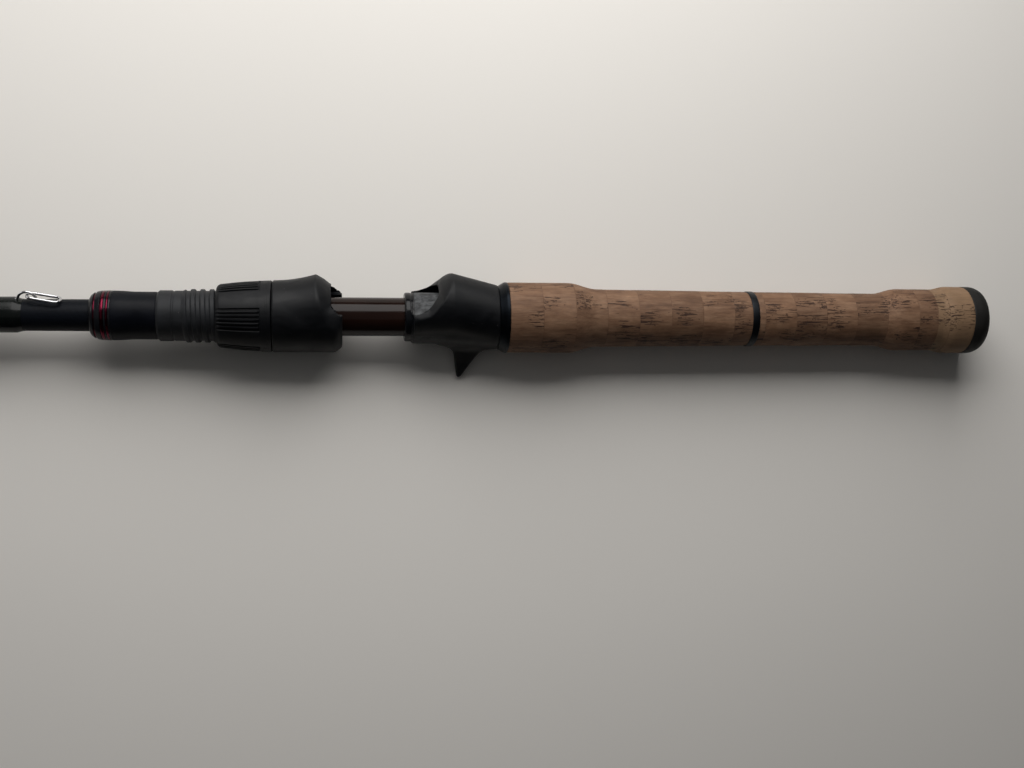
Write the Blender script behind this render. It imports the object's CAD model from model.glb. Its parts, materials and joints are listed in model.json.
import json
import math
import bpy
import numpy as np
from mathutils import Matrix, Vector


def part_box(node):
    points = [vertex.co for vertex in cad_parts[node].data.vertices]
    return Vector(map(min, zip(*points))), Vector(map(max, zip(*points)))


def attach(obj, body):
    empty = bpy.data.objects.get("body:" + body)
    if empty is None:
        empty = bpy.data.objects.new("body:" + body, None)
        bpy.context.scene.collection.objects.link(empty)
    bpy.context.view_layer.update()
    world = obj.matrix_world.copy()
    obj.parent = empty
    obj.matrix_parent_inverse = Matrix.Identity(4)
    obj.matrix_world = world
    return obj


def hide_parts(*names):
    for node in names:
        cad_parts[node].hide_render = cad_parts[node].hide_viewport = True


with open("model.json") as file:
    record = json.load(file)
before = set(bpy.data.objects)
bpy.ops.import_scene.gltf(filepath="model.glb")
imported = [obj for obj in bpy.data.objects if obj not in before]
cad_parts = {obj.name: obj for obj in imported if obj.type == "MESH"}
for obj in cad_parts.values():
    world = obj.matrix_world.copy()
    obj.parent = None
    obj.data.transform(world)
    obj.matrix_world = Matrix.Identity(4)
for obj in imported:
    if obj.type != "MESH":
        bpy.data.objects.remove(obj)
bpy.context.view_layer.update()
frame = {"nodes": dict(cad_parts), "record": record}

# ---- the rod's own frame: x along the rod, z towards the reel side, in millimetres ----

JOINTS = {j["name"]: j for j in frame["record"]["behaviour"]["joints"]}
AXIS_HEIGHT = JOINTS["nut_spin"]["pos_m"][2] * 1000
FOLD = JOINTS["keeper_fold"]
ROLL = math.atan2(-FOLD["axis"][1], FOLD["axis"][2])
SCALE = Matrix.Scale(0.001, 4)
LAY = Matrix.Translation((0, 0, AXIS_HEIGHT / 1000)) @ Matrix.Rotation(ROLL - math.pi / 2, 4, "X") @ SCALE


def span(node):
    """Where a node starts and ends along the rod, in millimetres."""
    low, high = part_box(node)
    return low[0] * 1000, high[0] * 1000


def to_local(point):
    """A point of the row frame, in metres, as a point of the rod's own frame, in millimetres."""
    return LAY.inverted() @ Vector(point)


# ---- mesh helpers ----

def piece(name, verts, faces, material, angle=35):
    """A mesh object from points in the rod's own frame, smooth except at edges sharper than angle."""
    mesh = bpy.data.meshes.new(name)
    mesh.from_pydata([tuple(v) for v in verts], [], [tuple(f) for f in faces])
    mesh.transform(LAY)
    mesh.validate()
    mesh.shade_smooth()
    mesh.set_sharp_from_angle(angle=math.radians(angle))
    obj = bpy.data.objects.new(name, mesh)
    bpy.context.scene.collection.objects.link(obj)
    mesh.materials.append(material)
    return obj


def soft(points, steps=4):
    """An outline of (x, r, fillet) points with each corner rounded over its fillet length."""
    out = []
    count = len(points)
    for i, p in enumerate(points):
        fillet = p[2] if len(p) > 2 else 0
        here = np.array(p[:2], float)
        if fillet <= 0:
            out.append(tuple(here))
            continue
        before = np.array(points[i - 1][:2], float) - here
        after = np.array(points[(i + 1) % count][:2], float) - here
        a = here + before / np.linalg.norm(before) * min(fillet, np.linalg.norm(before) * 0.49)
        b = here + after / np.linalg.norm(after) * min(fillet, np.linalg.norm(after) * 0.49)
        for k in range(steps + 1):
            t = k / steps
            out.append(tuple((1 - t) ** 2 * a + 2 * t * (1 - t) * here + t * t * b))
    return out


def lathe_data(outline, segments=128, first=0):
    """Points and quads of an outline of (x, r) turned round the rod's axis. The outline closes on itself."""
    angles = np.linspace(0, 2 * math.pi, segments, endpoint=False)
    verts = [(x, r * math.sin(a), r * math.cos(a)) for x, r in outline for a in angles]
    count = len(outline)
    faces = []
    for i in range(count):
        j = (i + 1) % count
        for k in range(segments):
            m = (k + 1) % segments
            faces.append((first + i * segments + k, first + j * segments + k,
                          first + j * segments + m, first + i * segments + m))
    return verts, faces


def lathe(name, outline, material, segments=128, angle=35):
    """A turned piece. The outline runs clockwise, outside from low x to high x, then back along the bore."""
    verts, faces = lathe_data(outline, segments)
    return piece(name, verts, [f[::-1] for f in faces], material, angle)


def relief(name, xs, radius, material, inner, segments=720, angle=35):
    """A turned piece whose outside radius depends on x and the angle round the rod, over a plain bore."""
    angles = np.linspace(0, 2 * math.pi, segments, endpoint=False)
    grid_x, grid_a = np.meshgrid(np.array(xs, float), angles, indexing="ij")
    r = radius(grid_x, grid_a)
    outer = np.stack([grid_x, r * np.sin(grid_a), r * np.cos(grid_a)], -1).reshape(-1, 3)
    rings = len(xs)
    bore = [(x, inner * math.sin(a), inner * math.cos(a)) for x in (xs[-1], xs[0]) for a in angles]
    verts = np.vstack([outer, np.array(bore)])
    i = np.arange(rings + 2)[:, None]
    k = np.arange(segments)[None, :]
    j = (i + 1) % (rings + 2)
    m = (k + 1) % segments
    faces = np.stack(np.broadcast_arrays(i * segments + k, i * segments + m, j * segments + m,
                                         j * segments + k), -1).reshape(-1, 4)
    return piece(name, verts, faces.tolist(), material, angle)


def tube(name, path, radius, material, closed=False, sides=16):
    """A round wire along points, made of rings that turn with the path."""
    pts = [Vector(p) for p in path]
    count = len(pts)
    verts = []
    side = Vector((0, 1, 0))
    for i, p in enumerate(pts):
        if closed:
            way = pts[(i + 1) % count] - pts[i - 1]
        else:
            way = pts[min(i + 1, count - 1)] - pts[max(i - 1, 0)]
        way.normalize()
        side = (side - way * side.dot(way)).normalized()
        other = way.cross(side)
        for k in range(sides):
            a = 2 * math.pi * k / sides
            verts.append(p + (side * math.cos(a) + other * math.sin(a)) * radius)
    faces = []
    for i in range(count if closed else count - 1):
        j = (i + 1) % count
        for k in range(sides):
            m = (k + 1) % sides
            faces.append((i * sides + k, i * sides + m, j * sides + m, j * sides + k))
    if not closed:
        faces.append(tuple(reversed(range(sides))))
        faces.append(tuple(range((count - 1) * sides, count * sides)))
    return piece(name, verts, faces, material, 50)


def place(obj, body, slot, *nodes):
    """Rides on a body, takes a slot's finish and stands for CAD nodes."""
    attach(obj, body)
    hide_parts(*nodes)


# ---- solids from distance functions ----

def smooth_min(a, b, k):
    """The union of two solids with a fillet of size k."""
    h = np.clip(0.5 + 0.5 * (b - a) / k, 0, 1)
    return b + (a - b) * h - k * h * (1 - h)


def smooth_max(a, b, k):
    """The intersection of two solids with a rounded edge of size k."""
    return -smooth_min(-a, -b, k)


def egg(y, z, r1, r2, h):
    """Distance to the shape around a circle r1 at the axis and a circle r2 at height h."""
    y = np.abs(y)
    b = (r1 - r2) / h
    a = np.sqrt(np.maximum(1 - b * b, 1e-6))
    k = -b * y + a * z
    low = np.hypot(y, z) - r1
    top = np.hypot(y, z - h) - r2
    side = a * y + b * z - r1
    return np.where(k < 0, low, np.where(k > a * h, top, side))


def curve_distance(x, z, points):
    """Signed distance to an open line of (x, z) points, negative on its right-hand side along it."""
    best = np.full(x.shape, 1e9)
    sign = np.ones(x.shape)
    for (ax, az), (bx, bz) in zip(points[:-1], points[1:]):
        ex, ez = bx - ax, bz - az
        t = np.clip(((x - ax) * ex + (z - az) * ez) / (ex * ex + ez * ez), 0, 1)
        dx, dz = x - ax - t * ex, z - az - t * ez
        d = np.hypot(dx, dz)
        cross = ex * (z - az) - ez * (x - ax)
        near = d < best - 1e-9
        sign = np.where(near, np.sign(cross), sign)
        best = np.where(near, d, best)
    return best * sign


def polygon_distance(x, z, points):
    """Signed distance to a closed polygon of (x, z) points, negative inside."""
    best = np.full(x.shape, 1e9)
    inside = np.zeros(x.shape, bool)
    for i, (ax, az) in enumerate(points):
        bx, bz = points[(i + 1) % len(points)]
        ex, ez = bx - ax, bz - az
        t = np.clip(((x - ax) * ex + (z - az) * ez) / (ex * ex + ez * ez), 0, 1)
        best = np.minimum(best, np.hypot(x - ax - t * ex, z - az - t * ez))
        if az != bz:
            over = ((az > z) != (bz > z)) & (x < (bx - ax) * (z - az) / (bz - az) + ax)
            inside ^= over
    return np.where(inside, -best, best)


def surface(name, field, low, high, step, material, angle=60):
    """The zero surface of a distance field as a mesh of quads, one point in each cell that it crosses."""
    axes = [np.arange(l, h + step, step) for l, h in zip(low, high)]
    gx, gy, gz = np.meshgrid(*axes, indexing="ij")
    f = field(gx, gy, gz)
    inside = f < 0
    shape = np.array(f.shape) - 1
    total = np.zeros((*shape, 3))
    hits = np.zeros(shape)
    corners = [(i, j, k) for i in (0, 1) for j in (0, 1) for k in (0, 1)]

    def at(values, c):
        return values[c[0]:c[0] + shape[0], c[1]:c[1] + shape[1], c[2]:c[2] + shape[2]]

    for c in corners:
        for axis in range(3):
            if c[axis] == 1:
                continue
            d = list(c)
            d[axis] = 1
            fa, fb = at(f, c), at(f, d)
            cross = (fa < 0) != (fb < 0)
            t = np.where(cross, fa / np.where(fa == fb, 1, fa - fb), 0)
            for q in range(3):
                total[..., q] += np.where(cross, c[q] + (t if q == axis else 0), 0)
            hits += cross
    used = hits > 0
    index = np.full(shape, -1)
    index[used] = np.arange(used.sum())
    cells = np.argwhere(used)
    offset = total[used] / hits[used][:, None]
    verts = np.array(low) + (cells + offset) * step
    verts = project(field, verts, step)
    faces = []
    for axis in range(3):
        u, v = (axis + 1) % 3, (axis + 2) % 3
        a = np.moveaxis(inside, axis, 0)
        cross = np.moveaxis(a[:-1] != a[1:], 0, axis)
        where = np.argwhere(cross)
        keep = (where[:, u] > 0) & (where[:, v] > 0) & (where[:, u] < shape[u]) & (where[:, v] < shape[v])
        where = where[keep]
        ids = []
        for du, dv in ((1, 1), (0, 1), (0, 0), (1, 0)):
            cell = where.copy()
            cell[:, u] -= du
            cell[:, v] -= dv
            ids.append(index[tuple(cell.T)])
        quad = np.stack(ids, 1)
        starts = inside[tuple(where.T)]
        quad[~starts] = quad[~starts][:, ::-1]
        faces.append(quad)
    return piece(name, verts, np.vstack(faces).tolist(), material, angle)


def project(field, verts, step, rounds=3):
    """Moves points onto the zero surface along the field's slope."""
    h = step * 0.2
    for _ in range(rounds):
        x, y, z = verts.T
        f = field(x, y, z)
        gx = (field(x + h, y, z) - field(x - h, y, z)) / (2 * h)
        gy = (field(x, y + h, z) - field(x, y - h, z)) / (2 * h)
        gz = (field(x, y, z + h) - field(x, y, z - h)) / (2 * h)
        g = np.stack([gx, gy, gz], 1)
        move = g * (f / np.maximum((g * g).sum(1), 0.25))[:, None]
        size = np.linalg.norm(move, axis=1)[:, None]
        verts = verts - move * np.minimum(1, 0.5 * step / np.maximum(size, 1e-9))
    return verts


# ---- materials ----

def material(name):
    """A new node material: (material, node tree, its shader)."""
    mat = bpy.data.materials.new(name)
    mat.use_nodes = True
    return mat, mat.node_tree, mat.node_tree.nodes["Principled BSDF"]


def coords(tree, scale=(1, 1, 1), shift=None):
    """Object coordinates in the row frame, scaled on each axis."""
    source = tree.nodes.new("ShaderNodeTexCoord")
    mapping = tree.nodes.new("ShaderNodeMapping")
    mapping.inputs["Scale"].default_value = scale
    tree.links.new(source.outputs["Object"], mapping.inputs["Vector"])
    if shift is not None:
        add = tree.nodes.new("ShaderNodeVectorMath")
        tree.links.new(mapping.outputs["Vector"], add.inputs[0])
        tree.links.new(shift, add.inputs[1])
        return add.outputs[0]
    return mapping.outputs["Vector"]


def noise(tree, vector, scale, detail=2.0, rough=0.5, distortion=0.0):
    """A noise value from 0 to 1."""
    node = tree.nodes.new("ShaderNodeTexNoise")
    node.inputs["Scale"].default_value = scale
    node.inputs["Detail"].default_value = detail
    node.inputs["Roughness"].default_value = rough
    node.inputs["Distortion"].default_value = distortion
    tree.links.new(vector, node.inputs["Vector"])
    return node.outputs["Fac"]


def ramp(tree, value, stops):
    """A colour ramp of (position, colour) stops."""
    node = tree.nodes.new("ShaderNodeValToRGB")
    node.color_ramp.elements[0].position = stops[0][0]
    node.color_ramp.elements[0].color = (*stops[0][1], 1)
    node.color_ramp.elements[1].position = stops[-1][0]
    node.color_ramp.elements[1].color = (*stops[-1][1], 1)
    for pos, color in stops[1:-1]:
        node.color_ramp.elements.new(pos).color = (*color, 1)
    tree.links.new(value, node.inputs["Fac"])
    return node.outputs["Color"]


def levels(tree, value, low, high, out_low=0.0, out_high=1.0):
    """A value mapped from one range to another, clamped and eased."""
    node = tree.nodes.new("ShaderNodeMapRange")
    node.interpolation_type = "SMOOTHSTEP"
    node.inputs["From Min"].default_value = low
    node.inputs["From Max"].default_value = high
    node.inputs["To Min"].default_value = out_low
    node.inputs["To Max"].default_value = out_high
    tree.links.new(value, node.inputs["Value"])
    return node.outputs["Result"]


def calc(tree, operation, a, b=None):
    """One Math node on sockets or numbers."""
    node = tree.nodes.new("ShaderNodeMath")
    node.operation = operation
    for socket, value in zip(node.inputs, (a, b)):
        if value is None:
            continue
        if isinstance(value, (int, float)):
            socket.default_value = value
        else:
            tree.links.new(value, socket)
    return node.outputs[0]


def mix(tree, kind, factor, a, b):
    """A colour mix of two sockets or colours."""
    node = tree.nodes.new("ShaderNodeMix")
    node.data_type = "RGBA"
    node.blend_type = kind
    if isinstance(factor, (int, float)):
        node.inputs["Factor"].default_value = factor
    else:
        tree.links.new(factor, node.inputs["Factor"])
    for key, value in (("A", a), ("B", b)):
        socket = [s for s in node.inputs if s.name == key and s.type == "RGBA"][0]
        if isinstance(value, tuple):
            socket.default_value = (*value, 1)
        else:
            tree.links.new(value, socket)
    return [s for s in node.outputs if s.type == "RGBA"][0]


def bump(tree, shader, height, strength, distance):
    """A bump from a height value, in metres."""
    node = tree.nodes.new("ShaderNodeBump")
    node.inputs["Strength"].default_value = strength
    node.inputs["Distance"].default_value = distance
    tree.links.new(height, node.inputs["Height"])
    tree.links.new(node.outputs["Normal"], shader.inputs["Normal"])


def split_coords(tree):
    """The x, y and z of object coordinates, in metres."""
    source = tree.nodes.new("ShaderNodeTexCoord")
    split = tree.nodes.new("ShaderNodeSeparateXYZ")
    tree.links.new(source.outputs["Object"], split.inputs[0])
    return split.outputs


def x_value(tree):
    """The place along the rod, in metres."""
    return split_coords(tree)[0]


def axis_distance(tree):
    """The distance from the rod's axis, in metres."""
    _, across, height = split_coords(tree)
    up = calc(tree, "SUBTRACT", height, AXIS_HEIGHT / 1000)
    total = calc(tree, "ADD", calc(tree, "MULTIPLY", across, across), calc(tree, "MULTIPLY", up, up))
    return calc(tree, "SQRT", total)


def cork_material(start, pale_from):
    """Turned cork rings: tan with grain, dark pits that run along the rod and end at each ring's edge."""
    mat, tree, shader = material("cork_rings")
    x = x_value(tree)
    along = calc(tree, "DIVIDE", calc(tree, "SUBTRACT", x, start), CORK_RING / 1000)
    ring = calc(tree, "FLOOR", along)
    part = calc(tree, "FRACT", along)
    tone = tree.nodes.new("ShaderNodeTexWhiteNoise")
    tone.noise_dimensions = "1D"
    tree.links.new(calc(tree, "ADD", ring, 7.0), tone.inputs["W"])
    jump = tree.nodes.new("ShaderNodeVectorMath")
    jump.operation = "SCALE"
    jump.inputs["Scale"].default_value = 40.0
    tree.links.new(tone.outputs["Color"], jump.inputs[0])
    shift = jump.outputs[0]
    long = noise(tree, coords(tree, (135, 1900, 1900), shift), 1.0, 2.0, 0.5, 0.4)
    short = noise(tree, coords(tree, (700, 1500, 1500), shift), 1.0, 1.0, 0.5, 0.3)
    crowd = noise(tree, coords(tree, (45, 110, 110), shift), 1.0, 1.0, 0.5)
    where = levels(tree, crowd, 0.42, 0.60)
    limit = levels(tree, where, 0.0, 1.0, 0.76, 0.575)
    cracks = levels(tree, calc(tree, "SUBTRACT", long, limit), 0.0, 0.025)
    dots = levels(tree, calc(tree, "SUBTRACT", short, limit), 0.05, 0.08)
    pits = calc(tree, "MAXIMUM", cracks, calc(tree, "MULTIPLY", dots, 0.7))
    cloud = noise(tree, coords(tree, (90, 260, 260), shift), 1.0, 3.0, 0.6)
    fine = noise(tree, coords(tree, (520, 3600, 3600), shift), 1.0, 2.0, 0.6)
    base = ramp(tree, cloud, [(0.25, (0.135, 0.070, 0.039)), (0.5, (0.205, 0.115, 0.068)),
                              (0.78, (0.285, 0.175, 0.110))])
    grain = ramp(tree, fine, [(0.3, (0.70, 0.66, 0.62)), (0.6, (1.0, 1.0, 1.0))])
    base = mix(tree, "MULTIPLY", 0.75, base, grain)
    vein = noise(tree, coords(tree, (70, 800, 800), shift), 1.0, 3.0, 0.65)
    veins = ramp(tree, vein, [(0.3, (0.60, 0.54, 0.50)), (0.5, (0.95, 0.94, 0.93)),
                              (0.72, (1.12, 1.10, 1.07))])
    base = mix(tree, "MULTIPLY", 0.9, base, veins)
    shade = ramp(tree, tone.outputs["Value"], [(0.0, (0.86, 0.84, 0.82)), (0.5, (0.95, 0.94, 0.93)),
                                               (1.0, (1.04, 1.02, 0.99))])
    base = mix(tree, "MULTIPLY", 1.0, base, shade)
    pale = levels(tree, x, pale_from - 0.0001, pale_from + 0.0001)
    base = mix(tree, "MIX", calc(tree, "MULTIPLY", pale, 0.35), base, (0.36, 0.245, 0.14))
    edge = calc(tree, "MINIMUM", part, calc(tree, "SUBTRACT", 1.0, part))
    seam = calc(tree, "MULTIPLY", levels(tree, edge, 0.004, 0.022, 1.0, 0.0), levels(tree, cloud, 0.35, 0.6))
    base = mix(tree, "MIX", calc(tree, "MULTIPLY", seam, 0.35), base, (0.09, 0.045, 0.025))
    base = mix(tree, "MIX", calc(tree, "MULTIPLY", pits, 0.9), base, (0.030, 0.012, 0.007))
    tree.links.new(base, shader.inputs["Base Color"])
    rough = levels(tree, fine, 0.3, 0.7, 0.62, 0.82)
    tree.links.new(rough, shader.inputs["Roughness"])
    shader.inputs["Specular IOR Level"].default_value = 0.35
    dip = calc(tree, "ADD", calc(tree, "MULTIPLY", pits, -1.0), calc(tree, "MULTIPLY", fine, 0.22))
    dip = calc(tree, "ADD", dip, calc(tree, "MULTIPLY", seam, -0.3))
    bump(tree, shader, dip, 0.8, 0.0003)
    return mat


def soft_black(name, color=(0.0022, 0.0026, 0.0036), rough=(0.42, 0.58), shine=0.2, scooped=False):
    """Soft-touch moulded plastic: matte, fine texture, faint marks, and a scuffed scoop on the rear hood."""
    mat, tree, shader = material(name)
    grain = noise(tree, coords(tree, (2600, 2600, 2600)), 1.0, 2.0, 0.5)
    marks = noise(tree, coords(tree, (120, 260, 260)), 1.0, 3.0, 0.6, 0.6)
    specks = noise(tree, coords(tree, (1500, 1500, 1500)), 1.0, 0.0, 0.5)
    dust = levels(tree, specks, 0.84, 0.88)
    worn = tuple(c * 1.6 + 0.001 for c in color)
    base = ramp(tree, marks, [(0.35, color), (0.75, worn)])
    base = mix(tree, "MIX", calc(tree, "MULTIPLY", dust, 0.18), base, (0.20, 0.19, 0.18))
    matte = levels(tree, marks, 0.3, 0.75, rough[0], rough[1])
    if scooped:
        x = x_value(tree)
        inside = calc(tree, "MULTIPLY", levels(tree, x, 0.0150, 0.0156), levels(tree, x, 0.0280, 0.0262))
        floor_mask = calc(tree, "MULTIPLY", inside, levels(tree, axis_distance(tree), 0.0106, 0.0098))
        scuff = noise(tree, coords(tree, (500, 900, 900)), 1.0, 3.0, 0.6, 0.4)
        worn_floor = ramp(tree, scuff, [(0.35, (0.018, 0.019, 0.021)), (0.65, (0.075, 0.079, 0.083))])
        base = mix(tree, "MIX", floor_mask, base, worn_floor)
        lip = levels(tree, x, 0.0152, 0.0146)
        matte = calc(tree, "SUBTRACT", matte, calc(tree, "MULTIPLY", lip, 0.26))
    tree.links.new(base, shader.inputs["Base Color"])
    tree.links.new(matte, shader.inputs["Roughness"])
    shader.inputs["Specular IOR Level"].default_value = shine
    bump(tree, shader, grain, 0.25, 0.00006)
    return mat


def gloss_black(name, color=(0.0085, 0.0036, 0.0026), rough=(0.12, 0.22)):
    """Lacquered tube: deep black gloss with hairline scuffs that run round and along it."""
    mat, tree, shader = material(name)
    hair = noise(tree, coords(tree, (90, 4200, 4200)), 1.0, 2.0, 0.6)
    wave = noise(tree, coords(tree, (60, 120, 120)), 1.0, 1.0, 0.5)
    base = ramp(tree, wave, [(0.3, color), (0.75, tuple(c * 1.7 for c in color))])
    tree.links.new(base, shader.inputs["Base Color"])
    tree.links.new(levels(tree, hair, 0.35, 0.8, rough[0], rough[1]), shader.inputs["Roughness"])
    shader.inputs["Specular IOR Level"].default_value = 0.13
    shader.inputs["Coat Weight"].default_value = 0.06
    shader.inputs["Coat Roughness"].default_value = 0.1
    bump(tree, shader, wave, 0.15, 0.0004)
    return mat


def carbon(name):
    """Graphite blank: navy satin lacquer over fine crossing fibres."""
    mat, tree, shader = material(name)
    wave = tree.nodes.new("ShaderNodeTexWave")
    wave.wave_type = "BANDS"
    wave.bands_direction = "DIAGONAL"
    wave.inputs["Scale"].default_value = 260.0
    wave.inputs["Distortion"].default_value = 3.0
    wave.inputs["Detail"].default_value = 2.0
    tree.links.new(coords(tree, (1, 1, 1)), wave.inputs["Vector"])
    fibres = noise(tree, coords(tree, (160, 5200, 5200)), 1.0, 2.0, 0.6)
    both = calc(tree, "ADD", calc(tree, "MULTIPLY", wave.outputs["Fac"], 0.12),
                calc(tree, "MULTIPLY", fibres, 0.88))
    base = ramp(tree, both, [(0.3, (0.0028, 0.0036, 0.0056)), (0.7, (0.005, 0.0065, 0.010))])
    tree.links.new(base, shader.inputs["Base Color"])
    tree.links.new(levels(tree, fibres, 0.3, 0.7, 0.40, 0.50), shader.inputs["Roughness"])
    shader.inputs["Specular IOR Level"].default_value = 0.08
    bump(tree, shader, both, 0.12, 0.00005)
    return mat


def satin_metal(name, color, rough=(0.28, 0.42), spin=True, metallic=1.0):
    """Turned and anodised metal, with fine lathe lines round it."""
    mat, tree, shader = material(name)
    scale = (5200, 60, 60) if spin else (300, 300, 300)
    lines = noise(tree, coords(tree, scale), 1.0, 2.0, 0.6)
    smudge = noise(tree, coords(tree, (160, 160, 160)), 1.0, 2.0, 0.5)
    dark = tuple(c * 0.72 for c in color)
    base = ramp(tree, lines, [(0.3, dark), (0.7, color)])
    tree.links.new(base, shader.inputs["Base Color"])
    tree.links.new(levels(tree, smudge, 0.3, 0.7, rough[0], rough[1]), shader.inputs["Roughness"])
    shader.inputs["Metallic"].default_value = metallic
    bump(tree, shader, lines, 0.12, 0.00003)
    return mat


def epoxy_wrap(name, tint):
    """Thread wound round the blank under clear epoxy: fine turns below, a wet gloss above."""
    mat, tree, shader = material(name)
    x = x_value(tree)
    turns = calc(tree, "SINE", calc(tree, "MULTIPLY", x, 2 * math.pi / 0.00025))
    blotch = noise(tree, coords(tree, (260, 260, 260)), 1.0, 2.0, 0.5)
    base = ramp(tree, levels(tree, turns, -1, 1), [(0.0, tuple(c * 0.55 for c in tint)), (1.0, tint)])
    shade = ramp(tree, blotch, [(0.3, (0.7, 0.7, 0.7)), (0.7, (1, 1, 1))])
    base = mix(tree, "MULTIPLY", 0.8, base, shade)
    tree.links.new(base, shader.inputs["Base Color"])
    tree.links.new(levels(tree, blotch, 0.3, 0.7, 0.16, 0.3), shader.inputs["Roughness"])
    shader.inputs["Specular IOR Level"].default_value = 0.12
    shader.inputs["Coat Weight"].default_value = 0.12
    shader.inputs["Coat Roughness"].default_value = 0.08
    swell = noise(tree, coords(tree, (180, 120, 120)), 1.0, 1.0, 0.5)
    bump(tree, shader, calc(tree, "ADD", swell, calc(tree, "MULTIPLY", turns, 0.015)), 0.35, 0.0004)
    return mat


def ceramic_material():
    """Polished dark ceramic of the guide rings."""
    mat, tree, shader = material("ceramic_rings")
    cloud = noise(tree, coords(tree, (700, 700, 700)), 1.0, 2.0, 0.5)
    tree.links.new(ramp(tree, cloud, [(0.3, (0.035, 0.037, 0.042)), (0.7, (0.06, 0.062, 0.07))]),
                   shader.inputs["Base Color"])
    tree.links.new(levels(tree, cloud, 0.3, 0.7, 0.08, 0.16), shader.inputs["Roughness"])
    return mat


def rubber_material():
    """Black rubber of the butt cap, slightly dusty and scuffed on its edge."""
    mat, tree, shader = material("butt_rubber")
    grain = noise(tree, coords(tree, (1800, 1800, 1800)), 1.0, 2.0, 0.6)
    cloud = noise(tree, coords(tree, (150, 150, 150)), 1.0, 3.0, 0.6)
    base = ramp(tree, cloud, [(0.3, (0.005, 0.0045, 0.004)), (0.75, (0.012, 0.011, 0.010))])
    tree.links.new(base, shader.inputs["Base Color"])
    tree.links.new(levels(tree, cloud, 0.3, 0.7, 0.52, 0.74), shader.inputs["Roughness"])
    shader.inputs["Specular IOR Level"].default_value = 0.3
    bump(tree, shader, grain, 0.3, 0.0001)
    return mat


CORK_START, CORK_TRIM = span("front_cork")
CAP_START = span("rear_cork")[1]
BUTT_END = span("butt_cap")[1]
CORK_RING = 12.7
SEAT_BORE = 7.4
CORK = cork_material(CORK_START / 1000, (CAP_START - 15.0) / 1000)
SEAT = soft_black("soft_touch_seat")
REAR_SEAT = soft_black("soft_touch_rear", scooped=True)
SEAT_THREAD = soft_black("seat_thread", (0.013, 0.014, 0.016), (0.45, 0.6), 0.2)
SLEEVE = soft_black("fore_sleeve_satin", (0.0018, 0.0024, 0.0045), (0.40, 0.52), 0.10)
TUBE = gloss_black("tube_lacquer")
BLANK = carbon("graphite_blank")
CHECK = gloss_black("fore_check_gloss", (0.006, 0.0065, 0.008), (0.16, 0.3))
REAR_CHECK = satin_metal("rear_check_satin", (0.010, 0.012, 0.015), (0.34, 0.48))
RED = satin_metal("red_anodised", (0.11, 0.010, 0.024), (0.18, 0.3))
TRIM = satin_metal("trim_satin", (0.010, 0.012, 0.015), (0.35, 0.5), metallic=0.8)
RUBBER = rubber_material()
STEEL = satin_metal("bright_wire", (0.72, 0.72, 0.74), (0.1, 0.2), spin=False)
GUIDE_STEEL = satin_metal("guide_steel", (0.20, 0.21, 0.23), (0.22, 0.36), spin=False)
CERAMIC = ceramic_material()
WRAP = epoxy_wrap("wrap_epoxy", (0.006, 0.008, 0.0075))


# ---- blank, tube and foregrip ----

TIP_START = span("tip_frame")[0]
CHECK_START = span("fore_check")[0]


def blank_radius(x):
    """The blank's outside radius: a taper to the tip, and a slight one in the handle."""
    in_handle = 5.9 + 0.5 * (x - CHECK_START) / (BUTT_END - CHECK_START)
    ahead = 1.05 + 4.85 * (x - TIP_START) / (CHECK_START - TIP_START)
    return in_handle if x > CHECK_START else ahead


def make_blank():
    start, end = span("blank")
    xs = [start + (end - start) * i / 60 for i in range(61)]
    outer = [(x, blank_radius(x)) for x in xs]
    inner = [(end, 4.6), (start, 0.6)]
    place(lathe("rod_blank", outer + inner, BLANK, 64), "rod", "carbon", "blank")


def make_tube():
    start, end = span("handle_tube")
    outline = soft([(start, 7.35), (end, 7.35), (end, 6.6), (start, 6.6)])
    place(lathe("tube_under_reel", outline, TUBE), "rod", "tube_lacquer", "handle_tube")


def make_fore_check():
    front, back = span("fore_check")
    grooves = [(-101.3, 0.8, 8.15), (-98.4, 1.3, 9.1), (-96.6, 0.9, 9.2)]
    outline = [(front, 6.0, 0), (front, 6.55, 0.2)]
    for k in range(1, 13):
        a = math.radians(7.5 * k)
        outline.append((front + 5.2 * (1 - math.cos(a)), 6.55 + 2.65 * math.sin(a), 0))
    outline += [(back - 0.15, 9.2, 0), (back, 9.05, 0), (back, 6.3, 0)]
    dense = []
    for a, b in zip(outline[:-1], outline[1:]):
        steps = max(1, int(abs(b[0] - a[0]) / 0.1))
        for k in range(steps):
            dense.append((a[0] + (b[0] - a[0]) * k / steps, a[1] + (b[1] - a[1]) * k / steps))
    dense.append(outline[-1][:2])
    cut = []
    for x, r in dense:
        if r > 7:
            for middle, width, _ in grooves:
                edge = width / 2 - abs(x - middle)
                if edge > 0:
                    r -= min(0.5, edge * 6)
        cut.append((x, r))
    place(lathe("fore_check_ring", cut, CHECK, 160, 50), "rod", "check", "fore_check")
    verts, faces = [], []
    for middle, width, radius in grooves:
        half = width / 2 - 0.1
        bead = [(middle - half, radius - 0.45), (middle - half, radius - 0.1)]
        for k in range(1, 8):
            a = math.pi * k / 8
            bead.append((middle - half * math.cos(a), radius - 0.1 + 0.2 * math.sin(a)))
        bead += [(middle + half, radius - 0.1), (middle + half, radius - 0.45)]
        v, f = lathe_data(bead, 160, len(verts))
        verts += v
        faces += [q[::-1] for q in f]
    place(piece("red_rings", verts, faces, RED, 50), "rod", "accent", "accent_rings")


def make_sleeve():
    start, end = span("fore_sleeve")
    outline = soft([(start, SEAT_BORE), (start, 9.2, 0.2), (start + 3, 9.15, 1), (start + 7, 8.85, 1.5),
                    (end - 0.5, 8.85, 0.2), (end, 8.6, 0.1), (end, SEAT_BORE)])
    place(lathe("fore_sleeve_body", outline, SLEEVE, 160), "rod", "sleeve", "fore_sleeve")


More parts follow.
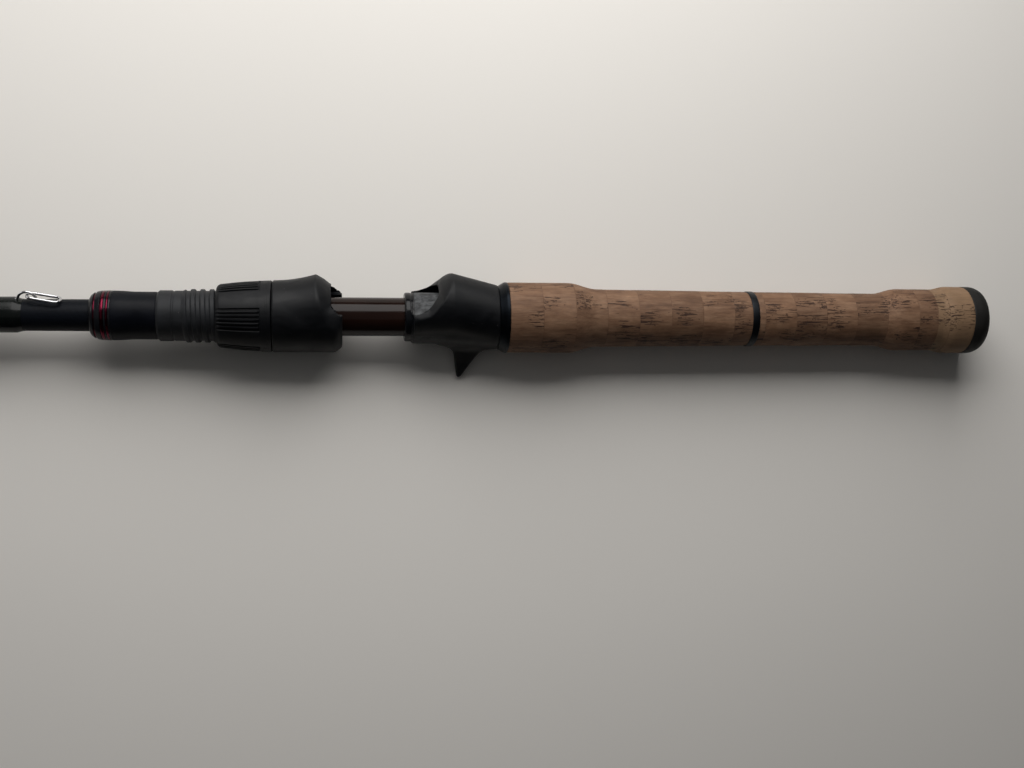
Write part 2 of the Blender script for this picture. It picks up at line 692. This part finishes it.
def make_barrel():
    start, end = span("threaded_barrel")
    front, pitch, crest, root = -72.6, 3.4, 10.0, 9.35

    def radius(x, a):
        turn = np.mod((x - front - 2) / pitch - (math.pi / 2 - a) / (2 * math.pi), 1.0)
        near = np.minimum(turn, 1 - turn) * pitch
        ridge = np.clip((1.15 - near) / 0.55, 0, 1)
        ridge = ridge * ridge * (3 - 2 * ridge)
        rise = np.clip((x - front - 2.2) / 1.6, 0, 1) * np.clip((-36.0 - x) / 1.6, 0, 1)
        r = root + (crest - root) * ridge * rise
        collar = np.interp(x, [start, start + 0.8, front - 1.5, front - 1.2, front - 0.7, front - 0.5],
                           [8.75, 9.45, 9.45, 9.15, 9.15, root])
        r = np.where(x < front - 0.5, collar, r)
        back = np.clip((x - (end - 0.6)) / 0.6, 0, 1)
        r = r - 0.5 * back * back
        slot_angle = np.abs(np.mod(a + 2 * math.pi, 2 * math.pi) - math.pi)
        keyway = (slot_angle * r < 1.5) & (x > -43)
        return np.where(keyway, 8.35, r)

    xs = np.concatenate([np.arange(start, -36, 0.14), np.arange(-36, end, 0.5), [end]])
    obj = relief("seat_thread_barrel", xs.tolist(), radius, SEAT_THREAD, SEAT_BORE, 360, 45)
    place(obj, "rod", "seat_thread", "threaded_barrel")


# ---- lock nut ----

NUT_BORE = 10.15
PANELS = 5
PANEL_MIDDLE = 1.4
RIB_STEP = 6.7


def nut_profile(x, front, back):
    """The nut's smooth radius along its length, with a rounded front corner."""
    from_front = x - front
    r = np.interp(from_front, [0, 2, 6, 10.5, 15, 16, back - front],
                  [11.95, 12.0, 12.5, 12.95, 13.2, 13.3, 13.5])
    corner = np.clip(from_front / 2.0, 0, 1)
    r = r - 1.75 * (1 - np.sqrt(np.maximum(1 - (1 - corner) ** 2, 0)))
    rear = np.clip((x - (back - 0.5)) / 0.5, 0, 1)
    return r - 0.35 * rear * rear


def make_nut():
    front, back = span("lock_nut")
    back = min(back, span("front_hood")[0] - 0.15)
    panel_end = front + 16.6
    middle = math.radians(PANEL_MIDDLE)

    def radius(x, a):
        r = nut_profile(x, front, back)
        step = 2 * math.pi / PANELS
        off = np.mod(a - middle + step / 2, step) - step / 2
        deg = np.degrees(off)
        inside = np.clip((19.6 - np.abs(deg)) / 0.7, 0, 1)
        length = np.clip((panel_end - x) / 0.5, 0, 1)
        corner = np.hypot(np.maximum(np.abs(deg) - 16.5, 0) * 0.225,
                          np.maximum(x - (panel_end - 1.6), 0)) / 1.3
        inside = inside * length * np.clip((1.05 - corner) / 0.25, 0, 1)
        inside = inside * inside * (3 - 2 * inside)
        rib_at = np.mod(deg + RIB_STEP / 2, RIB_STEP) - RIB_STEP / 2
        rib = np.clip((2.05 - np.abs(rib_at)) / 1.0, 0, 1)
        rib = rib * rib * (3 - 2 * rib)
        rib = rib * np.clip((17.2 - np.abs(deg)) / 0.6, 0, 1) * np.clip((panel_end - 0.55 - x) / 0.7, 0, 1)
        depth = 0.62 * np.clip((x - front) / 2.5, 0.15, 1)
        r = r - inside * depth + inside * rib * depth * 0.88
        lines = np.sin((x - (panel_end + 1.0)) * 2 * math.pi / 0.62)
        zone = np.clip((x - (panel_end + 1.0)) / 0.3, 0, 1) * np.clip((back - 0.7 - x) / 0.3, 0, 1)
        return r + 0.035 * lines * zone

    xs = np.concatenate([front + 2.2 * (1 - np.cos(np.linspace(0, math.pi / 2, 10))),
                         np.arange(front + 2.5, panel_end - 2.2, 0.45),
                         np.arange(panel_end - 2.1, back - 0.05, 0.13), [back]])
    obj = relief("lock_nut_body", xs.tolist(), radius, SEAT, NUT_BORE, 900, 50)
    place(obj, "nut", "seat", "lock_nut")


# ---- front hood ----

HOOD_FRONT, HOOD_BACK = span("front_hood")
HOOD_OUTER = [(-21.7, 40.0), (-21.7, 16.25), (-21.6, 15.5), (-21.1, 13.85), (-20.2, 10.7), (-19.4, 7.7),
              (-18.0, 4.6), (-16.2, 2.1), (-14.0, 0.6), (-11.7, -0.5), (0.0, -5.0)]
HOOD_INNER = [(-15.5, 40.0), (-15.5, 8.9), (-15.0, 8.55), (-14.2, 8.2), (-13.2, 7.3), (-12.2, 6.6),
              (-11.7, 6.2), (0.0, 1.0)]


def hood_field(x, y, z):
    """The front hood: a drum with a raised roof, whose mouth is cut back in a broad bevel."""
    rise = np.clip((x + 37.7) / 16.1, 0, 1)
    body = egg(y, z, 13.55, 13.0, 0.6 + 2.65 * rise * rise)
    body = smooth_max(body, HOOD_FRONT - x, 0.9)
    chamfer = (np.hypot(y, z) - 13.6 + (x - HOOD_BACK) * 0.85 + 2.1) * 0.76
    body = smooth_max(body, chamfer, 0.9)
    body = smooth_max(body, x - HOOD_BACK, 0.5)
    depth = np.maximum(-body, 0)
    rho = np.hypot(y, z)
    share = np.clip((rho - 12.2) / np.maximum(rho - 12.2 + depth, 0.3), 0, 1)
    outer = curve_distance(x, z, HOOD_OUTER)
    inner = curve_distance(x, z, HOOD_INNER)
    cut = inner * (1 - share) + outer * share
    solid = smooth_max(body, cut, 0.45)
    hole = rho - NUT_BORE
    pocket = smooth_max(smooth_max(rho - 12.2, 5.2 - z, 0.4), -34.0 - x, 0.4)
    pocket = smooth_max(pocket, np.abs(y) - 10.6, 0.6)
    counter = np.maximum(rho - 11.5, x - (HOOD_FRONT + 1.4))
    return smooth_max(smooth_max(smooth_max(solid, -hole, 0.2), -pocket, 0.4), -counter, 0.2)


def make_hood():
    obj = surface("front_hood_body", hood_field, (HOOD_FRONT - 0.8, -14.6, -14.6),
                  (HOOD_BACK + 0.8, 14.6, 17.4), 0.3, SEAT)
    place(obj, "hood", "seat", "front_hood")


# ---- rear hood and trigger ----

SEAT_FRONT, SEAT_BACK = span("trigger_seat")
SEAT_OUTER = [(5.0, 1.2), (16.0, 2.9), (17.0, 4.5), (18.7, 5.0), (21.0, 5.9), (22.7, 7.7), (24.3, 9.8),
              (25.7, 11.3), (27.8, 14.3), (29.3, 16.6), (30.3, 18.4), (39.1, 34.0)]
SEAT_INNER = [(5.0, 5.9), (15.2, 6.1), (17.6, 6.6), (20.5, 8.1), (22.3, 9.8), (23.7, 11.0), (24.4, 12.0),
              (24.5, 40.0)]
TRIGGER = [(25.6, -6.0), (26.1, -8.4), (27.9, -9.4), (29.8, -11.3), (31.2, -13.9), (31.8, -17.3),
           (32.3, -21.6), (33.0, -25.4), (33.6, -26.1), (34.7, -25.5), (35.9, -23.4), (37.6, -20.1),
           (40.3, -15.4), (42.5, -12.7), (44.8, -11.2), (46.8, -10.4), (46.8, -6.0)]


def trigger_field(x, y, z):
    """The rear hood with its scoop, the front rim and the trigger, all blended together."""
    low = np.interp(x, [14.9, 17.0, 22.0, 25.0, 30.0, 47.6], [9.9, 10.1, 10.2, 10.3, 10.4, 12.0])
    high = np.interp(x, [14.9, 30.0, 47.6], [12.35, 12.45, 12.1])
    height = np.interp(x, [14.9, 30.0, 47.6], [4.6, 4.85, 0.4])
    body = egg(y, z, low, high, np.maximum(height, 0.4))
    body = smooth_max(body, x - SEAT_BACK, 0.3)
    shell = smooth_max(body, 14.9 - x, 0.5)
    plan = polygon_distance(x, z, TRIGGER)
    half = np.interp(z, [-25.9, -24.0, -19.0, -13.0, -9.0, 0.0], [1.0, 1.35, 2.2, 3.5, 4.7, 6.2])
    narrow = np.clip((x - 40.0) / 7.0, 0, 1)
    half = half * (1 - 0.35 * narrow)
    blade = smooth_max(plan, np.abs(y) - half, 0.8)
    shell = smooth_min(shell, blade, 3.6)
    shell = smooth_max(shell, x - SEAT_BACK, 0.3)
    depth = np.maximum(-body, 0)
    rho = np.hypot(y, z)
    share = np.clip((rho - 12.2) / np.maximum(rho - 12.2 + depth, 0.3), 0, 1)
    outer = -curve_distance(x, z, SEAT_OUTER)
    inner = -curve_distance(x, z, SEAT_INNER)
    cut = inner * (1 - share) + outer * share
    shell = smooth_max(shell, -cut, 0.3)
    pocket = smooth_max(smooth_max(rho - 12.2 + np.maximum(x - 27, 0) * 0.04, 4.9 - z, 0.4), x - 43.5, 0.4)
    pocket = smooth_max(pocket, np.abs(y) - 11.2 + np.maximum(x - 20, 0) * 0.15, 0.6)
    shell = smooth_max(shell, -pocket, 0.4)
    bed = np.maximum(rho - 9.35, x - 44.0)
    rim = smooth_max(smooth_max(bed, SEAT_FRONT - x, 0.9), x - 30.0, 0.3)
    groove = np.hypot(x - 14.2, rho - 9.55) - 0.42
    rim = smooth_max(rim, -groove, 0.15)
    whole = smooth_min(shell, rim, 1.5)
    return smooth_max(whole, SEAT_BORE - rho, 0.15)


def make_trigger():
    obj = surface("rear_hood_and_trigger", trigger_field, (SEAT_FRONT - 0.8, -13.4, -27.0),
                  (SEAT_BACK + 0.8, 13.4, 18.4), 0.25, REAR_SEAT)
    place(obj, "rod", "seat", "trigger_seat")


def make_rear_check():
    start, end = span("rear_check")
    outline = soft([(start, SEAT_BORE), (start, 12.1, 0.15), (start + 0.5, 12.35, 0.2),
                    (end - 1.2, 13.5, 0.2),
                    (end - 0.75, 13.65, 0.15), (end, 13.65, 0.1), (end, SEAT_BORE)])
    place(lathe("rear_check_ring", outline, REAR_CHECK, 160), "rod", "rear_check", "rear_check")


# ---- grip ----

def ease(x, a, b):
    """A smooth step from 0 at a to 1 at b."""
    t = min(1, max(0, (x - a) / (b - a)))
    return t * t * (3 - 2 * t)


def grip_radius(x):
    """The grip's turned outline: a swell by the seat, a waist, and a knob at the butt."""
    swell = CORK_START + 24
    waist = CORK_START + 35.7
    knob = CAP_START - 38
    r = 13.65 + (11.3 - 13.65) * ease(x, swell, waist)
    r += (10.75 - 11.3) * min(1, max(0, (x - waist) / (CORK_TRIM + 2.8 - waist)))
    r -= 0.2 * ease(x, CORK_TRIM + 2.8, knob)
    r += (12.45 - 10.55) * ease(x, knob, knob + 9.9)
    return r + (13.6 - 12.45) * ease(x, CAP_START - 13, CAP_START - 7.1)


def make_cork(name, node, seed):
    start, end = span(node)
    rng = np.random.default_rng(seed)
    segments = 256
    xs = np.linspace(start, end, int((end - start) / 0.55))
    angles = np.linspace(0, 2 * math.pi, segments, endpoint=False)
    r = np.array([grip_radius(x) for x in xs])[:, None] + np.zeros((len(xs), segments))
    ring = np.floor((xs - CORK_START) / CORK_RING).astype(int)
    for n in np.unique(ring):
        rows = np.flatnonzero(ring == n)
        offset = rng.uniform(-0.04, 0.0)
        wave = rng.uniform(0, 2 * math.pi, 3)
        lobes = 0.03 * np.cos(2 * angles + wave[0]) + 0.02 * np.cos(5 * angles + wave[1])
        r[rows] += offset + lobes[None, :] - 0.05
    low = rng.normal(size=(len(xs) // 2 + 2, segments // 2))
    rough = np.repeat(np.repeat(low, 2, 0)[:len(xs)], 2, 1)
    for axis in (0, 1):
        rough = (rough + np.roll(rough, 1, axis) + np.roll(rough, -1, axis)) / 3
    r += 0.006 * rough
    r[0] -= 0.12 + 0.12 * np.abs(rough[0])
    r[-1] -= 0.08 + 0.08 * np.abs(rough[-1])
    grid_x = np.repeat(xs[:, None], segments, 1)
    outer = np.stack([grid_x, r * np.sin(angles), r * np.cos(angles)], -1).reshape(-1, 3)
    bore = [(x, 6.45 * math.sin(a), 6.45 * math.cos(a)) for x in (end, start) for a in angles]
    verts = np.vstack([outer, np.array(bore)])
    rings = len(xs) + 2
    i = np.arange(rings)[:, None]
    k = np.arange(segments)[None, :]
    j = (i + 1) % rings
    m = (k + 1) % segments
    faces = np.stack(np.broadcast_arrays(i * segments + k, i * segments + m, j * segments + m,
                                         j * segments + k), -1).reshape(-1, 4)
    place(piece(name, verts, faces.tolist(), CORK, 50), "rod", "cork", node)


def make_trim():
    start, end = span("trim_ring")
    outline = soft([(start, 6.3), (start, 10.75, 0.1), (start + 0.3, 10.95, 0.2), (end - 0.3, 10.95, 0.2),
                    (end, 10.75, 0.1), (end, 6.3)])
    place(lathe("trim_band", outline, TRIM, 160), "rod", "trim", "trim_ring")


def make_cap():
    outline = [(CAP_START, 6.5, 0), (CAP_START, 13.4, 0.2), (CAP_START + 0.4, 13.6, 0.2),
               (BUTT_END - 4.2, 13.6, 1.2), (BUTT_END - 1.3, 12.4, 1.5), (BUTT_END - 0.25, 10.2, 1.0),
               (BUTT_END, 8.6, 1.0), (BUTT_END, 4.0, 0),
               (BUTT_END - 0.02, 0.02, 0), (BUTT_END - 3, 0.02, 0), (BUTT_END - 3.8, 6.5, 0)]
    place(lathe("butt_cap_rubber", soft(outline, 6), RUBBER, 160, 50), "rod", "rubber", "butt_cap")


# ---- hook keeper ----

KEEPER = to_local(FOLD["pos_m"])
LOOP_R = 3.3
LOOP_WIRE = 0.5
RING_WIRE = 0.55
RING_REACH = 11.6
RING_YAW = math.radians(8)


def make_keeper():
    foot = to_local((span("keeper_loop")[0] / 1000, 0, 0)).x
    middle = KEEPER.x - 0.4
    base = blank_radius(middle) + 0.1
    path = []
    for k in range(8):
        t = k / 8
        path.append((foot + (middle - 4.9 - foot) * t, 0, base + 0.25))
    path += [(middle - 4.2, 0, base + 0.3), (middle - 3.65, 0, base + 0.42), (middle - 3.32, 0, base + 0.75)]
    for k in range(2, 18):
        a = math.pi - math.pi * k / 17
        path.append((middle + LOOP_R * math.cos(a), 0, base + 0.1 + 3.2 * math.sin(a)))
    path.append((middle + LOOP_R, 0, base - 0.05))
    place(tube("keeper_loop_wire", path, LOOP_WIRE, STEEL), "rod", "bright_wire", "keeper_loop")


def make_keeper_ring():
    reach, half, corner = RING_REACH, 2.2, 1.7
    droop = math.asin((KEEPER.z - blank_radius(KEEPER.x + reach) - 0.85) / reach)
    flat = []
    for cx, cy, start in ((reach - corner, half - corner, 0), (corner, half - corner, 90),
                          (corner, corner - half, 180), (reach - corner, corner - half, 270)):
        for k in range(7):
            a = math.radians(start + 90 * k / 6)
            flat.append((cx + corner * math.cos(a), cy + corner * math.sin(a)))
        if start in (90, 270):
            continue
        for k in range(1, 6):
            side = 1 if start == 0 else -1
            t = k / 6
            x = reach - corner + (2 * corner - reach) * t if start == 0 else corner + (reach - 2 * corner) * t
            flat.append((x, side * half))
    path = []
    for u, v in flat:
        run = u * math.cos(droop)
        x = KEEPER.x + run * math.cos(RING_YAW) + v * math.sin(RING_YAW)
        path.append((x, v * math.cos(RING_YAW) - run * math.sin(RING_YAW), KEEPER.z - u * math.sin(droop)))
    wire = tube("keeper_ring_wire", path, RING_WIRE, STEEL, closed=True)
    place(wire, "keeper_ring", "bright_wire", "keeper_ring")


def make_keeper_wrap():
    start, end = span("keeper_wrap")

    def radius(x, a):
        base = np.repeat([[blank_radius(v)] for v in x[:, 0]], x.shape[1], 1)
        rise = np.clip((x - start) / 3.0, 0, 1) * np.clip((end - x) / 3.0, 0, 1)
        rise = rise * rise * (3 - 2 * rise)
        foot = np.cos(a)
        bulge = np.clip((foot - 0.75) / 0.25, 0, 1) * np.clip((x - start - 2.0) / 2.5, 0, 1)
        return base + 0.08 + 0.62 * rise + 0.26 * bulge * rise

    xs = np.linspace(start, end, 60).tolist()
    obj = relief("keeper_wrap_epoxy", xs, radius, WRAP, blank_radius(start) - 0.3, 128)
    place(obj, "rod", "wrap", "keeper_wrap")


# ---- line guides and tip ----

def paint(node, mat):
    """A CAD node keeps its shape and takes a new material."""
    obj = frame["nodes"][node]
    obj.data.materials.clear()
    obj.data.materials.append(mat)


def paint_guides():
    looks = {"wrap": WRAP, "guide_steel": GUIDE_STEEL, "ceramic": CERAMIC}
    for part in frame["record"]["subparts"]:
        node = part["node"]
        if node.startswith(("guide_", "tip_")):
            paint(node, looks[part["material_slot"]])


# ---- floor, light and camera ----

def floor():
    mat, tree, shader = material("pale_table")
    cloud = noise(tree, coords(tree, (2.2, 2.2, 2.2)), 1.0, 2.0, 0.5)
    grain = noise(tree, coords(tree, (900, 900, 900)), 1.0, 2.0, 0.5)
    tree.links.new(ramp(tree, cloud, [(0.3, (0.84, 0.815, 0.775)), (0.7, (0.87, 0.845, 0.805))]),
                   shader.inputs["Base Color"])
    shader.inputs["Roughness"].default_value = 0.55
    shader.inputs["Specular IOR Level"].default_value = 0.25
    bump(tree, shader, grain, 0.08, 0.0001)
    mesh = bpy.data.meshes.new("table")
    size = 6.0
    corners = [(-size, -size, 0), (size, -size, 0), (size, size, 0), (-size, size, 0)]
    mesh.from_pydata(corners, [], [(0, 1, 2, 3)])
    mesh.transform(Matrix.Translation((0, 0, -0.0002)))
    mesh.materials.append(mat)
    obj = bpy.data.objects.new("table", mesh)
    bpy.context.scene.collection.objects.link(obj)


def area(name, spot, aim, width, height, power, color):
    """A soft rectangular light at a spot, turned towards a point."""
    light = bpy.data.lights.new(name, "AREA")
    light.shape = "RECTANGLE"
    light.size = width
    light.size_y = height
    light.energy = power
    light.color = color
    obj = bpy.data.objects.new(name, light)
    obj.location = spot
    way = Vector(aim) - Vector(spot)
    obj.rotation_euler = way.to_track_quat("-Z", "Y").to_euler()
    bpy.context.scene.collection.objects.link(obj)


def lights():
    area("window", (0.015, 0.38, 0.31), (0.015, 0.0, 0.06), 0.55, 0.40, 3.0, (1.0, 0.985, 0.965))
    area("long_window", (-1.1, 0.38, 0.31), (-1.1, 0.0, 0.06), 1.0, 0.40, 3.0, (1.0, 0.985, 0.965))
    area("ceiling", (-0.7, 0.2, 2.2), (-0.7, 0.0, 0.0), 3.0, 2.0, 2.8, (1.0, 0.99, 0.975))
    world = bpy.data.worlds.new("room")
    bpy.context.scene.world = world
    world.use_nodes = True
    back = world.node_tree.nodes["Background"]
    back.inputs["Color"].default_value = (0.94, 0.96, 1.0, 1)
    back.inputs["Strength"].default_value = 0.015


CAMERA_AT = (-0.0156, -0.0258, 0.47465)
CAMERA_TILT = 8.53
CAMERA_ROLL = -0.16
CAMERA_LENS = 42.1875


def camera():
    data = bpy.data.cameras.new("camera")
    obj = bpy.data.objects.new("camera", data)
    bpy.context.scene.collection.objects.link(obj)
    data.sensor_width = 36
    data.lens = CAMERA_LENS
    data.clip_start = 0.01
    tilt = math.radians(CAMERA_TILT)
    way = Vector((math.sin(tilt), 0, -math.cos(tilt)))
    right = way.cross(Vector((0, 1, 0))).normalized()
    up = right.cross(way)
    turn = Matrix((right, up, -way)).transposed().to_4x4()
    obj.matrix_world = (Matrix.Translation(CAMERA_AT) @ turn
                        @ Matrix.Rotation(math.radians(CAMERA_ROLL), 4, "Z"))
    bpy.context.scene.camera = obj
    bpy.context.scene.view_settings.view_transform = "Standard"


camera()
floor()
lights()
make_blank()
make_tube()
make_fore_check()
make_sleeve()
make_barrel()
make_nut()
make_hood()
make_trigger()
make_rear_check()
make_cork("front_cork_rings", "front_cork", 11)
make_cork("rear_cork_rings", "rear_cork", 12)
make_trim()
make_cap()
make_keeper()
make_keeper_ring()
make_keeper_wrap()
paint_guides()
